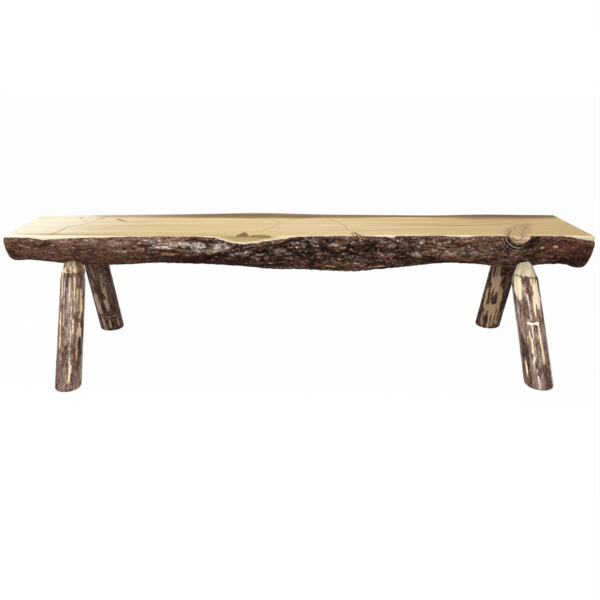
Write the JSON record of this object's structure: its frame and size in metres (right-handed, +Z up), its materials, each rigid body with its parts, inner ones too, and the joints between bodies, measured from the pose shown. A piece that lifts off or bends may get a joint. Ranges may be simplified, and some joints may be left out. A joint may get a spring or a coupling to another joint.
{
  "type": "log bench",
  "caption": "Rustic half-log bench: a bark-edged log sawn flat on top, on splayed skip-peeled pole legs tenoned into blind mortises.",
  "frame": {"origin": "on the floor under the middle of the bench, midway between its sawn ends and midway between the centres of its front and rear feet", "axes": "+X along the bench to its right-hand end, +Y to its rear, +Z up"},
  "size_m": [1.829, 0.6692, 0.457],
  "materials": {
    "seat_wood": "pale knotty pine, planed and varnished to a gloss",
    "bark": "dark red-brown pine bark, smoothed and varnished",
    "leg_pole": "skip-peeled pine pole, brown inner bark with tan patches of bare wood, varnished",
    "wedge_wood": "plain split hardwood, unfinished"
  },
  "bodies": {
    "root": {"seat_log": "seat_wood", "seat_bark": "bark", "leg_front_left": "leg_pole", "tenon_wedge_front_left": "wedge_wood", "leg_front_right": "leg_pole", "tenon_wedge_front_right": "wedge_wood", "leg_rear_left": "leg_pole", "tenon_wedge_rear_left": "wedge_wood", "leg_rear_right": "leg_pole", "tenon_wedge_rear_right": "wedge_wood"}
  },
  "joints": []
}
